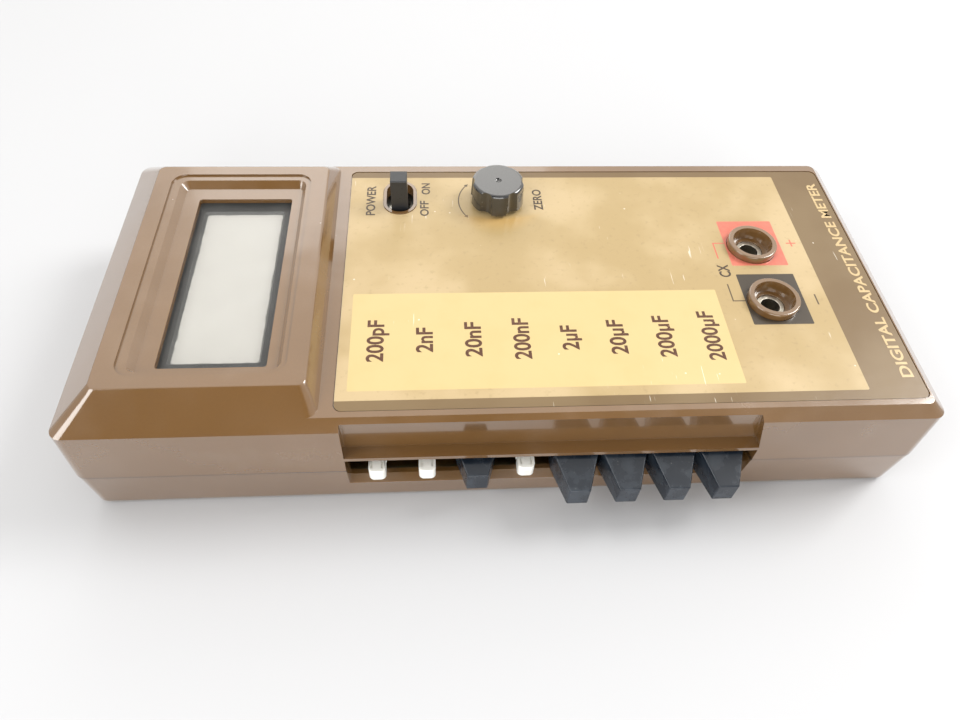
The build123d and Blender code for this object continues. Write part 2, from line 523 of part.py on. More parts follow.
# --- zero control -----------------------------------------------------------------------
with BuildPart() as zero_pot_body:
    posts([KNOB_CENTRE], POT_D, (CONTROL_TOP_Z, CONTROL_TOP_Z + POT_HEIGHT))
    block((KNOB_CENTRE[0] - 4.5, KNOB_CENTRE[0] + 4.5), (KNOB_CENTRE[1] - POT_D / 2 - 0.4, KNOB_CENTRE[1]),
          (CONTROL_TOP_Z, CONTROL_TOP_Z + 3))
    posts([KNOB_CENTRE], SHAFT_D + 2 * SHAFT_FIT,
          (CONTROL_TOP_Z + 1.6, CONTROL_TOP_Z + POT_HEIGHT + 1), Mode.SUBTRACT)
keep(zero_pot_body, "zero_pot_body")

knob_bottom_z = PANEL_Z + KNOB_GAP
shaft_top_z = knob_bottom_z + KNOB_HEIGHT - 2.0
with BuildPart() as zero_pot_shaft:
    posts([KNOB_CENTRE], SHAFT_D, (CONTROL_TOP_Z + 2.0, shaft_top_z))
keep(zero_pot_shaft, "zero_pot_shaft")

with BuildPart() as zero_knob:
    with Locations((*KNOB_CENTRE, knob_bottom_z + KNOB_HEIGHT / 2)):
        Cone(KNOB_BASE_D / 2, KNOB_TOP_D / 2, KNOB_HEIGHT)
    fillet(zero_knob.edges().group_by(Axis.Z)[-1], KNOB_EDGE_R)
    flute_r = (KNOB_BASE_D + KNOB_TOP_D) / 4 + KNOB_FLUTE_D / 2 - KNOB_FLUTE_DEPTH
    with BuildSketch(Plane.XY.offset(knob_bottom_z - 1)):
        with Locations(KNOB_CENTRE):
            with PolarLocations(flute_r, KNOB_FLUTES):
                Circle(KNOB_FLUTE_D / 2)
    extrude(amount=KNOB_HEIGHT + 2, mode=Mode.SUBTRACT)
    posts([KNOB_CENTRE], SHAFT_D + 0.02, (knob_bottom_z - 1, shaft_top_z + 0.1), Mode.SUBTRACT)
    with Locations((*KNOB_CENTRE, knob_bottom_z + KNOB_HEIGHT + KNOB_DIMPLE_R - KNOB_DIMPLE_DEPTH)):
        Sphere(KNOB_DIMPLE_R, mode=Mode.SUBTRACT)
keep(zero_knob, "zero_knob")

# --- range switch -----------------------------------------------------------------------
housing_z = (KEY_Z - HOUSING_HEIGHT / 2, KEY_Z + HOUSING_HEIGHT / 2)
channel = PLUNGER / 2 + SLIDE_GAP
with BuildPart() as range_switch_frame:
    frame_x = (KEY_X[0] - FRAME_MARGIN, KEY_X[-1] + FRAME_MARGIN)
    block(frame_x, (FRAME_Y, FRAME_Y + FRAME_T), housing_z)
    for x in (frame_x[0], frame_x[1] - FRAME_T):
        block((x, x + FRAME_T), (FRAME_Y, BAR_Y + 6), housing_z)
    with Locations([(x, FRAME_Y + FRAME_T / 2, KEY_Z) for x in KEY_X]):
        Box(2 * channel + 0.2, 3 * FRAME_T, 2 * channel + 0.2, mode=Mode.SUBTRACT)
keep(range_switch_frame, "range_switch_frame")

with BuildPart() as range_switch_bodies:
    for x in KEY_X:
        block((x - HOUSING_WIDTH / 2, x + HOUSING_WIDTH / 2), (HOUSING_Y0, HOUSING_Y1), housing_z)
    for x in KEY_X:
        block((x - channel, x + channel), (HOUSING_Y0 - 1, SPRING_END_Y),
              (KEY_Z - channel, KEY_Z + channel), Mode.SUBTRACT)
    block((BAR_X[0] - 5, BAR_X[1] + 5), (BAR_Y - BAR_WIDTH / 2 - BAR_GAP, BAR_Y + BAR_WIDTH / 2 + BAR_GAP),
          (KEY_Z + channel - 0.1, BAR_Z + BAR_THICKNESS + BAR_GAP), Mode.SUBTRACT)
keep(range_switch_bodies, "range_switch_bodies")

with BuildPart() as range_switch_pins:
    posts(switch_pins_points, PIN_D, (BOARD_Z - 0.9, housing_z[0]))
keep(range_switch_pins, "range_switch_pins")

with BuildPart() as latch_bar:
    block(BAR_X, (BAR_Y - BAR_WIDTH / 2, BAR_Y + BAR_WIDTH / 2), (BAR_Z, BAR_Z + BAR_THICKNESS))
    for x in KEY_X:
        block((x - LUG / 2 - 0.4 - BAR_TRAVEL, x + LUG / 2 + 0.4), (WINDOW_Y0, WINDOW_Y1),
              (BAR_Z - 1, BAR_Z + BAR_THICKNESS + 1), Mode.SUBTRACT)
keep(latch_bar, "latch_bar")


def coil(start, length, axis, turns, radius):
    """A round-wire compression spring from start along an axis, wire kept inside its length."""
    pitch = (length - SPRING_WIRE) / turns
    origin = Vector(*start) + Vector(*axis) * (SPRING_WIRE / 2)
    with BuildLine() as path:
        Helix(pitch, length - SPRING_WIRE, radius, center=origin, direction=axis)
    with BuildSketch(Plane(origin=path.line @ 0, z_dir=path.line % 0)) as wire:
        Circle(SPRING_WIRE / 2)
    sweep(wire.sketch, path=path.line, is_frenet=True)


ear_x = frame_x[0] + FRAME_T
with BuildPart() as latch_spring:
    coil((ear_x, BAR_Y, BAR_Z + BAR_THICKNESS / 2 + 0.1), BAR_X[0] - ear_x, (1, 0, 0), 4, 1.0)
keep(latch_spring, "latch_spring")

for number, x in enumerate(KEY_X, start=1):
    shift = KEY_TRAVEL if number == LATCHED else 0.0
    tip = PLUNGER_TIP_Y + shift
    half = PLUNGER / 2
    with BuildPart() as plunger:
        block((x - half, x + half), (tip, tip + PLUNGER_LENGTH), (KEY_Z - half, KEY_Z + half))
        fillet(plunger.edges().filter_by(Axis.Z).group_by(Axis.Y)[0], PLUNGER_TIP_R)
        for side in (-1, 1):
            with Locations((x + side * half, tip + 3.4, KEY_Z)):
                Box(0.7, 0.9, PLUNGER + 1, mode=Mode.SUBTRACT)
            with Locations((x + side * half * 0.6, tip + 2.6, PLUNGER_TOP_Z)):
                Box(0.35, 3.6, 0.6, mode=Mode.SUBTRACT)
        block((x - LUG / 2, x + LUG / 2), (LUG_Y + shift - LUG / 2, LUG_Y + shift + LUG / 2),
              (KEY_Z, PLUNGER_TOP_Z + LUG_HEIGHT))
        with Locations((x, tip + PLUNGER_LENGTH + 0.75, KEY_Z)):
            Cylinder(0.9, 2.5, rotation=(90, 0, 0))
    keep(plunger, f"range_plunger_{number}")

    spring_start = tip + PLUNGER_LENGTH
    with BuildPart() as spring:
        coil((x, spring_start, KEY_Z), SPRING_END_Y - spring_start, (0, 1, 0), SPRING_TURNS, SPRING_COIL / 2)
    keep(spring, f"plunger_spring_{number}")

    if number in CAPPED:
        front, shoulder, back = (y + shift for y in (CAP_FRONT_Y, CAP_SHOULDER_Y, CAP_BACK_Y))
        wide = CAP_BACK_WIDTH / 2
        narrow = CAP_FRONT_WIDTH / 2
        with BuildPart() as cap:
            with BuildSketch(Plane.XY.offset(CAP_BOTTOM_Z)):
                with BuildLine():
                    Polyline((x - narrow, front), (x + narrow, front), (x + wide, shoulder),
                             (x + wide, back), (x - wide, back), (x - wide, shoulder), close=True)
                make_face()
            extrude(amount=CAP_BACK_TOP_Z - CAP_BOTTOM_Z)
            with BuildSketch(Plane.YZ.offset(x - wide - 1)):
                with BuildLine():
                    Polyline((front - 1, CAP_FRONT_TOP_Z), (front, CAP_FRONT_TOP_Z),
                             (shoulder, CAP_BACK_TOP_Z), (shoulder, CAP_BACK_TOP_Z + 1),
                             (front - 1, CAP_BACK_TOP_Z + 1), close=True)
                make_face()
            extrude(amount=2 * wide + 2, mode=Mode.SUBTRACT)
            outer = cap.edges().filter_by(lambda e: e.center().Y < back - 0.01)
            fillet(outer, CAP_FILLET)
            fit = half + CAP_FIT
            block((x - fit, x + fit), (tip - 0.1, back + 1), (KEY_Z - fit, KEY_Z + fit), Mode.SUBTRACT)
        keep(cap, f"key_cap_{number}")

# --- sockets ----------------------------------------------------------------------------
for name, (px, py) in SOCKETS.items():
    with BuildPart() as socket:
        posts([(px, py)], SOCKET_D, (SOCKET_TOP_Z - SOCKET_LENGTH, SOCKET_TOP_Z))
        posts([(px, py)], SOCKET_TAIL_D, (BOARD_Z - 0.8, SOCKET_TOP_Z - SOCKET_LENGTH + 1))
        posts([(px, py)], SOCKET_BORE_D,
              (SOCKET_TOP_Z - SOCKET_BORE_LENGTH, SOCKET_TOP_Z + 1), Mode.SUBTRACT)
    keep(socket, name)

with BuildPart() as socket_nuts:
    nut_top_z = CEILING_Z - SOCKET_BOSS_DEPTH
    with BuildSketch(Plane.XY.offset(nut_top_z - NUT_HEIGHT)):
        with Locations(list(SOCKETS.values())):
            RegularPolygon(NUT_FLATS / 2, 6, major_radius=False)
            Circle(SOCKET_D / 2 + THREAD_FIT, mode=Mode.SUBTRACT)
    extrude(amount=NUT_HEIGHT)
keep(socket_nuts, "socket_nuts")

# --- battery, snap, leads, door ---------------------------------------------------------
battery_x = (BATTERY_X0, BATTERY_X0 + BATTERY[0])
battery_y = (BATTERY_Y0, BATTERY_Y0 + BATTERY[1])
battery_z = (BATTERY_Z0, BATTERY_Z0 + BATTERY[2])
battery_mid = (sum(battery_x) / 2, sum(battery_z) / 2)
terminal_y = battery_y[1] + TERMINAL_HEIGHT / 2
terminals = [(battery_mid[0] + side * TERMINAL_SPACING / 2, terminal_y, battery_mid[1]) for side in (-1, 1)]
with BuildPart() as battery:
    block(battery_x, battery_y, battery_z)
    fillet(battery.edges().filter_by(Axis.Y), 1.8)
    chamfer(battery.edges().group_by(Axis.Y)[0] + battery.edges().group_by(Axis.Y)[-1], 0.5)
    with Locations(terminals):
        Cylinder(TERMINAL_D / 2, TERMINAL_HEIGHT, rotation=(90, 0, 0))
keep(battery, "battery")

snap_y = (battery_y[1] + 0.2, battery_y[1] + 0.2 + SNAP_THICKNESS)
snap_x = (battery_x[0] + 0.5, battery_x[1] - 0.5)
snap_half_z = 6.3
with BuildPart() as battery_snap:
    block(snap_x, snap_y, (battery_mid[1] - snap_half_z, battery_mid[1] + snap_half_z))
    fillet(battery_snap.edges().filter_by(Axis.Y), 4.0)
    with Locations(terminals):
        Cylinder(TERMINAL_D / 2 + 0.1, TERMINAL_HEIGHT + 0.6, rotation=(90, 0, 0), mode=Mode.SUBTRACT)
keep(battery_snap, "battery_snap")

lead_z = battery_mid[1] + LEAD_ABOVE_SNAP_CENTRE
lead_drop = lead_z - BOARD_TOP_Z
lead_radius = LEAD_BEND * lead_drop
print("lead bend radius:", round(lead_radius, 2))
for name, offset in (("battery_lead_red", 0.9), ("battery_lead_black", -0.9)):
    lead_y = (snap_y[0] + snap_y[1]) / 2 + offset
    with BuildPart() as lead:
        with BuildLine() as route:
            FilletPolyline((snap_x[1], lead_y, lead_z), (LEAD_END_X, lead_y, lead_z),
                           (LEAD_END_X, lead_y, BOARD_TOP_Z), radius=lead_radius)
        with BuildSketch(Plane(origin=route.line @ 0, z_dir=route.line % 0)):
            Circle(LEAD_D / 2)
        sweep(path=route.line)
    keep(lead, name)

door_x = (DOOR_END_X, DOOR_INNER_X)
with BuildPart() as battery_door:
    block(door_x, (-DOOR_HALF_WIDTH, DOOR_HALF_WIDTH), DOOR_Z)
    block((DOOR_END_X, DOOR_END_X + 1.6), (-DOOR_HALF_WIDTH, DOOR_HALF_WIDTH), (DOOR_Z[0], DOOR_LIP_TOP_Z))
    fillet(battery_door.edges().filter_by(Axis.Y).group_by(Axis.Z)[0].sort_by(Axis.X)[0], 1.0)
    block((DOOR_END_X + 3, DOOR_INNER_X), (-DOOR_HALF_WIDTH - TONGUE, DOOR_HALF_WIDTH + TONGUE), TONGUE_Z)
    for i in range(5):
        x = DOOR_END_X + 6.0 + 1.8 * i
        block((x, x + 0.9), (-8, 8), (DOOR_Z[0] - 1, DOOR_Z[0] + 0.4), Mode.SUBTRACT)
keep(battery_door, "battery_door")

with BuildPart() as battery_pad:
    slab((battery_x[0] + 1.5, battery_x[1] - 1.5), (BATTERY_Y0 + 3, battery_y[1] - 3),
         (DOOR_Z[1], DOOR_Z[1] + PAD_THICKNESS), 1.0)
keep(battery_pad, "battery_pad")

# --- fasteners --------------------------------------------------------------------------
with BuildPart() as case_screws:
    posts(CASE_SCREWS, CASE_SCREW_HEAD_D, (CASE_SCREW_SINK - CASE_SCREW_HEAD_H, CASE_SCREW_SINK))
    posts(CASE_SCREWS, CASE_SCREW_D, (CASE_SCREW_SINK, CASE_SCREW_SINK + CASE_SCREW_LENGTH))
    for turn in (0, 90):
        with Locations([(px, py, CASE_SCREW_SINK - CASE_SCREW_HEAD_H) for px, py in CASE_SCREWS]):
            Box(3.0, 0.7, 1.6, rotation=(0, 0, turn), mode=Mode.SUBTRACT)
keep(case_screws, "case_screws")

with BuildPart() as board_screws:
    down = [(BOARD_SCREWS, BOARD_TOP_Z, -1)]
    up = [(DISPLAY_SCREWS, DISPLAY_BOARD_Z, 1), (CONTROL_SCREWS, CONTROL_Z, 1)]
    for points, seat_z, way in down + up:
        posts(points, SMALL_HEAD_D, sorted((seat_z, seat_z - way * SMALL_HEAD_H)))
        posts(points, SMALL_SCREW_D, sorted((seat_z, seat_z + way * SMALL_SCREW_REACH)))
        with Locations([(px, py, seat_z - way * SMALL_HEAD_H) for px, py in points]):
            Box(SMALL_HEAD_D + 1, 0.6, 1.0, mode=Mode.SUBTRACT)
keep(board_screws, "board_screws")

# --- parts on the main board ------------------------------------------------------------
CHIPS = [(-14.0, 2.6, 51.0, 13.7, 20), (23.5, 2.6, 19.5, 6.4, 8), (44.5, 2.6, 18.0, 6.4, 7)]
CHIP_Z = (BOARD_TOP_Z + 0.6, BOARD_TOP_Z + 4.2)
FILM_BLOCKS = [(cx, BACK - dy) for cx in (22.0, 33.0) for dy in (12.0, 20.0)]
FILM_SIZE = (8.4, 4.4, 8.0)
CANS = [(44.0, BACK - 11.0), (52.5, BACK - 11.0), (61.0, BACK - 11.0)]
CAN_D = 6.3
CAN_HEIGHT = 11.0
with BuildPart() as logic_chips:
    for cx, cy, length, width, legs in CHIPS:
        block((cx - length / 2, cx + length / 2), (cy - width / 2, cy + width / 2), CHIP_Z)
        for side in (-1, 1):
            leg_y = cy + side * width / 2
            for i in range(legs):
                leg_x = cx + HEADER_PITCH * (i - (legs - 1) / 2)
                block((leg_x - 0.25, leg_x + 0.25), sorted((leg_y - side * 0.2, leg_y + side * 0.5)),
                      (BOARD_TOP_Z, BOARD_TOP_Z + 2.2))
keep(logic_chips, "logic_chips")

with BuildPart() as film_capacitors:
    with Locations([(cx, cy, BOARD_TOP_Z + FILM_SIZE[2] / 2) for cx, cy in FILM_BLOCKS]):
        Box(*FILM_SIZE)
    fillet(film_capacitors.edges().filter_by(Axis.Z), 0.8)
keep(film_capacitors, "film_capacitors")

with BuildPart() as electrolytic_capacitors:
    posts(CANS, CAN_D, (BOARD_TOP_Z, BOARD_TOP_Z + CAN_HEIGHT))
    fillet(electrolytic_capacitors.edges().group_by(Axis.Z)[-1], 0.6)
keep(electrolytic_capacitors, "electrolytic_capacitors")

with BuildPart() as trimmers:
    for cx in (44.0, 52.5):
        block((cx - 2.4, cx + 2.4), (BACK - 22.5, BACK - 17.7), (BOARD_TOP_Z, BOARD_TOP_Z + 9.5))
        with Locations((cx - 1.2, BACK - 20.1, BOARD_TOP_Z + 9.8)):
            Cylinder(1.1, 1.2)
            Box(2.4, 0.4, 1.6, mode=Mode.SUBTRACT)
keep(trimmers, "trimmers")

with BuildPart() as resistors:
    for i in range(6):
        cx = -33.0 + 3.6 * i
        with Locations((cx, BACK - 11.5, BOARD_TOP_Z + 1.3)):
            Cylinder(1.15, 6.3, rotation=(90, 0, 0))
            Cylinder(0.3, 10.0, rotation=(90, 0, 0))
        for dy in (-5.0, 5.0):
            with Locations((cx, BACK - 11.5 + dy, BOARD_TOP_Z + 0.65)):
                Cylinder(0.3, 1.3)
keep(resistors, "resistors")

print("pieces:", len(os.listdir("parts")))
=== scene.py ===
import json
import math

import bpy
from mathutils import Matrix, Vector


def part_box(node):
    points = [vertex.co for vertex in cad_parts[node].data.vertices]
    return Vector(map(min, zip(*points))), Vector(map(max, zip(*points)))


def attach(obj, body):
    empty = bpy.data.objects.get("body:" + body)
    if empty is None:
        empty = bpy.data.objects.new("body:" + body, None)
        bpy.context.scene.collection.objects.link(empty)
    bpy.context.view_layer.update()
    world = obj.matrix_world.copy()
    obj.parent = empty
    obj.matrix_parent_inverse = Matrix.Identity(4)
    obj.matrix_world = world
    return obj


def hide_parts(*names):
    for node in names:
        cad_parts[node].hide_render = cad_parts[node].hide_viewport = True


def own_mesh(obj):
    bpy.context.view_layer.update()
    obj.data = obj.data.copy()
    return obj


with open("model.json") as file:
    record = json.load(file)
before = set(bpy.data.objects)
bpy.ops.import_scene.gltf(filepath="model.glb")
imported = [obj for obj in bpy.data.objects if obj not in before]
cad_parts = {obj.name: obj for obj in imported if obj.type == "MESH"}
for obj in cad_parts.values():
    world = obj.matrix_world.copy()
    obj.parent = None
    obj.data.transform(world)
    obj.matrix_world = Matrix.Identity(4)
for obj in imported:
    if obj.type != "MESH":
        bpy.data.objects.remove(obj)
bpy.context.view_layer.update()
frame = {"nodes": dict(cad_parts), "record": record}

# %% [markdown]
# A hand-held capacitance meter, dressed for its portrait.
#
# Every piece of the meter is already here at its real size: the two brown shells, the label, the
# display, the row of keys and everything inside. This lesson gives each piece its finish, rounds
# the edges that a moulding tool would round, prints the panel, and sets up the camera and lights.
# Lengths are in metres, so small sizes are written in millimetres times MM.

MM = 0.001
nodes = frame["nodes"]

# %% [markdown]
# The camera stands in front of the keys, a hand's breadth to the left of the middle, and looks
# down steeply. Its place comes from the case: it is measured from the front edge of the case
# and from the table. A 27 mm lens on the standard 36 mm sensor gives the close, slightly
# dramatic perspective of a hand-held snapshot.

# %% Camera
case_low, case_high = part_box("upper_case")
camera_data = bpy.data.cameras.new("snapshot_camera")
camera_data.lens = 27.04
camera_data.clip_start = 0.01
camera = bpy.data.objects.new("snapshot_camera", camera_data)
bpy.context.scene.collection.objects.link(camera)
camera_turn, camera_tilt, camera_roll = math.radians(-6.117), math.radians(37.561), math.radians(3.784)
aim = (Matrix.Rotation(camera_turn, 4, "Z") @ Matrix.Rotation(camera_tilt, 4, "X")
       @ Matrix.Rotation(camera_roll, 4, "Z"))
camera_place = Vector((-15.13 * MM, case_low.y - 70.76 * MM, 140.69 * MM))
camera.matrix_world = Matrix.Translation(camera_place) @ aim
bpy.context.scene.camera = camera
print("camera stands", round(camera_place.z / MM), "mm above the table")

# %% [markdown]
# The table is a plain pale sheet. The room is the main light: it is bright behind the meter, so
# the flat tops shine, and dark where the person who looks at it stands, so the front slopes show
# their own brown. Four soft boxes open the shadow in front and add the small bright glints along the ridges.

# %% Table
bpy.ops.object.select_all(action="DESELECT")
bpy.ops.mesh.primitive_plane_add(size=3.0, location=(0, 0, 0))
table = bpy.context.active_object
table.name = "table"
paper = bpy.data.materials.new("table paper")
paper.use_nodes = True
paper.node_tree.nodes["Principled BSDF"].inputs["Base Color"].default_value = (0.56, 0.575, 0.605, 1)
paper.node_tree.nodes["Principled BSDF"].inputs["Roughness"].default_value = 0.6
table.data.materials.append(paper)


# %% Room and lamps
def soft_box(name, place, size, power, target=(0, 0, 0.01), colour=(1.0, 0.98, 0.95)):
    """A square lamp that faces its target."""
    lamp_data = bpy.data.lights.new(name, "AREA")
    lamp_data.size = size
    lamp_data.energy = power
    lamp_data.color = colour
    lamp = bpy.data.objects.new(name, lamp_data)
    bpy.context.scene.collection.objects.link(lamp)
    direction = Vector(target) - Vector(place)
    lamp.matrix_world = Matrix.Translation(place) @ direction.to_track_quat("-Z", "Y").to_matrix().to_4x4()
    return lamp


soft_box("window_light", (0.62, 0.18, 0.62), 0.34, 5.0)
soft_box("fill_light", (-0.60, -0.30, 0.55), 0.4, 2.6)
soft_box("back_light", (-0.1, 0.8, 0.45), 0.5, 1.0)
soft_box("front_light", (0.0, -0.9, 0.32), 0.7, 5.0)
world = bpy.data.worlds.new("room")
bpy.context.scene.world = world
world.use_nodes = True
sky = world.node_tree
look = sky.nodes.new("ShaderNodeTexCoord").outputs["Generated"]


def glow(direction, edge, middle, edge_gives, middle_gives):
    """Brightness of the room round a direction: one value outside a cone, another at its middle."""
    dot = sky.nodes.new("ShaderNodeVectorMath")
    dot.operation = "DOT_PRODUCT"
    dot.inputs[1].default_value = Vector(direction).normalized()
    sky.links.new(look, dot.inputs[0])
    fade = sky.nodes.new("ShaderNodeMapRange")
    fade.interpolation_type = "SMOOTHSTEP"
    sky.links.new(dot.outputs["Value"], fade.inputs["Value"])
    for socket, value in (("From Min", edge), ("From Max", middle), ("To Min", edge_gives), ("To Max", middle_gives)):
        fade.inputs[socket].default_value = value
    return fade.outputs["Result"]


shade = sky.nodes.new("ShaderNodeMath")
shade.operation = "MULTIPLY"
sky.links.new(glow((-0.08, -0.62, 0.78), 0.80, 0.97, 1.0, 0.08), shade.inputs[0])
sky.links.new(glow((0.05, 0.62, 0.78), 0.30, 0.85, 0.70, 1.35), shade.inputs[1])
sky.links.new(shade.outputs["Value"], sky.nodes["Background"].inputs["Strength"])
sky.nodes["Background"].inputs["Color"].default_value = (1.0, 0.965, 0.91, 1)
bpy.context.scene.view_settings.view_transform = "Standard"

# %% [markdown]
# Every finish below is a small graph of nodes. Written out link by link, such a graph is hard to
# read, so two helpers let it be written as sums. A Signal is one output of a node, and adding or
# multiplying signals adds the Math nodes. A Finish is a material being made: `node` adds any
# other node, with its settings first and then what goes into its sockets.
#
# The patterns read Object coordinates. All the pieces share one origin, so a pattern's size is
# given in real millimetres, and it stays put when a piece moves.

# %% Helpers for finishes
class Signal:
    """One output of a node, used in sums as a number is."""

    def __init__(self, finish, socket):
        self.finish = finish
        self.socket = socket

    def math(self, operation, *values):
        return self.finish.node("ShaderNodeMath", {"operation": operation}, dict(enumerate(values)))

    def __add__(self, other):
        return self.math("ADD", self, other)

    def __sub__(self, other):
        return self.math("SUBTRACT", self, other)

    def __rsub__(self, other):
        return self.math("SUBTRACT", other, self)

    def __mul__(self, other):
        return self.math("MULTIPLY", self, other)

    def __truediv__(self, other):
        return self.math("DIVIDE", self, other)

    def __or__(self, other):
        """The larger of two masks: either area."""
        return self.math("MAXIMUM", self, other)

    def __and__(self, other):
        """The smaller of two masks: both areas."""
        return self.math("MINIMUM", self, other)

    def away(self, middle):
        """Distance from a value, on either side of it."""
        return self.math("ABSOLUTE", self - middle)

    __radd__ = __add__
    __rmul__ = __mul__


class Finish:
    """A material under construction, with one shader."""

    def __init__(self, name, colour, roughness, metallic=0.0, coat=0.0):
        self.material = bpy.data.materials.new(name)
        self.material.use_nodes = True
        self.tree = self.material.node_tree
        self.shader = self.tree.nodes["Principled BSDF"]
        self.put(self.shader.inputs["Base Color"], colour)
        self.put(self.shader.inputs["Roughness"], roughness)
        self.put(self.shader.inputs["Metallic"], metallic)
        self.put(self.shader.inputs["Coat Weight"], coat)
        self.place = self.node("ShaderNodeTexCoord", output="Object")
        axes = self.node("ShaderNodeSeparateXYZ", inputs={0: self.place})
        outputs = axes.socket.node.outputs
        self.x, self.y, self.z = (Signal(self, outputs[i]) for i in range(3))

    def put(self, socket, value):
        if isinstance(value, Signal):
            self.tree.links.new(value.socket, socket)
        elif isinstance(value, tuple) and len(value) == 3 and len(socket.default_value) == 4:
            socket.default_value = (*value, 1.0)
        else:
            socket.default_value = value

    def node(self, kind, settings=None, inputs=None, output=0):
        made = self.tree.nodes.new(kind)
        for setting, value in (settings or {}).items():
            setattr(made, setting, value)
        for name, value in (inputs or {}).items():
            self.put(made.inputs[name], value)
        return Signal(self, made.outputs[output])

    def noise(self, size, detail=3.0, where=None):
        """Soft cloudy variation from 0 to 1, with lumps about as large as size."""
        return self.node("ShaderNodeTexNoise", {}, {"Vector": where or self.place, "Scale": 1 / size,
                                                    "Detail": detail})

    def cells(self, size, output="Distance"):
        return self.node("ShaderNodeTexVoronoi", {}, {"Vector": self.place, "Scale": 1 / size}, output)

    def stretched(self, x, y, z):
        """The place, squeezed along each axis, so that round lumps become streaks."""
        return self.node("ShaderNodeMapping", {}, {"Vector": self.place, "Scale": (x, y, z)})

    def between(self, value, low, high, low_gives=0.0, high_gives=1.0):
        """A smooth step as value goes from low to high."""
        return self.node("ShaderNodeMapRange", {"interpolation_type": "SMOOTHSTEP"},
                         {"Value": value, "From Min": low, "From Max": high,
                          "To Min": low_gives, "To Max": high_gives})

    def blend(self, mask, under, over):
        """One colour where mask is 0, the other where it is 1."""
        return self.node("ShaderNodeMix", {"data_type": "RGBA"}, {0: mask, 6: under, 7: over}, output=2)

    def bump(self, height, depth):
        self.put(self.shader.inputs["Normal"], self.node(
            "ShaderNodeBump", {}, {"Height": height, "Distance": depth, "Strength": 1.0}))

    def specks(self, size, share, radius=0.16):
        """Scattered small dots: the given share of cells holds one."""
        chance = self.node("ShaderNodeSeparateColor", {}, {0: self.cells(size, "Color")})
        return self.between(self.cells(size), radius, radius * 0.6) & self.between(chance, 1 - share, 1 - share + 0.01)

    def box_mask(self, x, y, radius=0.0, soft=0.06 * MM):
        """1 inside a rounded rectangle in the plane, given as (low, high) pairs, 0 outside it."""
        across = self.x.away(sum(x) / 2) - ((x[1] - x[0]) / 2 - radius)
        along = self.y.away(sum(y) / 2) - ((y[1] - y[0]) / 2 - radius)
        corner = across.math("POWER", across | 0.0, 2.0) + along.math("POWER", along | 0.0, 2.0)
        edge = corner.math("SQRT", corner) + ((across | along) & 0.0) - radius
        return self.between(edge, soft, -soft)


def span(low, high):
    """A stretch in millimetres, as metres."""
    return low * MM, high * MM


# %% [markdown]
# The case is injection-moulded plastic in a dark milk-chocolate brown, and it shines. Years of handling have left it
# uneven: a greyish bloom, a few pale specks, fine scratches, and small dark marks. A thin dark band of painted shade
# runs along the seam between the shells, standing in for the dark gap there. The surface is never quite flat, so a
# very shallow bump makes reflections waver.

# %% Brown case plastic
seam_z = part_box("upper_case")[0].z


def case_plastic(name="case plastic", colour=(0.165, 0.083, 0.025)):
    finish = Finish(name, colour, 0.1, coat=1.0)
    finish.shader.inputs["Coat Roughness"].default_value = 0.07
    finish.shader.inputs["Coat IOR"].default_value = 1.6
    finish.shader.inputs["IOR"].default_value = 1.7
    cloud = finish.noise(28 * MM, 2)
    grain = finish.noise(0.5 * MM, 2)
    bloom = finish.between(finish.noise(12 * MM, 2), 0.45, 0.75)
    worn = finish.blend(cloud, tuple(c * 0.82 for c in colour), tuple(c * 1.22 for c in colour))
    greyed = finish.blend(bloom * 0.15, worn, (0.30, 0.21, 0.14))
    mottled = finish.blend(grain * 0.22, greyed, tuple(c * 0.5 for c in colour))
    marks = finish.specks(8 * MM, 0.30, 0.045)
    # Painted shade: a thin dark band on both sides of the seam between the shells, where the gap would be dark. It is
    # mixed in with the real small dark marks.
    seam_shade = finish.between(finish.z.away(seam_z), 0.30 * MM, 0.12 * MM)
    marks_and_seam_shade = finish.blend((marks * 0.7) | (seam_shade * 0.92), mottled, (0.022, 0.012, 0.006))
    dust = finish.specks(2.8 * MM, 0.09, 0.06)
    pale = finish.blend(dust * 0.6, marks_and_seam_shade, (0.55, 0.50, 0.42))
    finish.put(finish.shader.inputs["Base Color"], pale)
    rough = finish.between(cloud, 0.3, 0.7, 0.12, 0.2) + grain * 0.06 + bloom * 0.05 + dust * 0.3
    finish.put(finish.shader.inputs["Roughness"], rough)
    finish.bump(finish.noise(6 * MM, 1) + grain * 0.012, 0.07 * MM)
    return finish.material


CASE = case_plastic()
print("case finish:", len(CASE.node_tree.nodes), "nodes")

# %% [markdown]
# Parts out of a CAD program have knife edges, and a moulded part never has. To soften them, a
# piece is copied, its loose triangles are welded and merged into whole faces, and the Bevel
# modifier rounds every edge that is sharper than the angle. The rounding is a fraction of a
# millimetre, but it catches the light and that is what makes plastic look moulded.

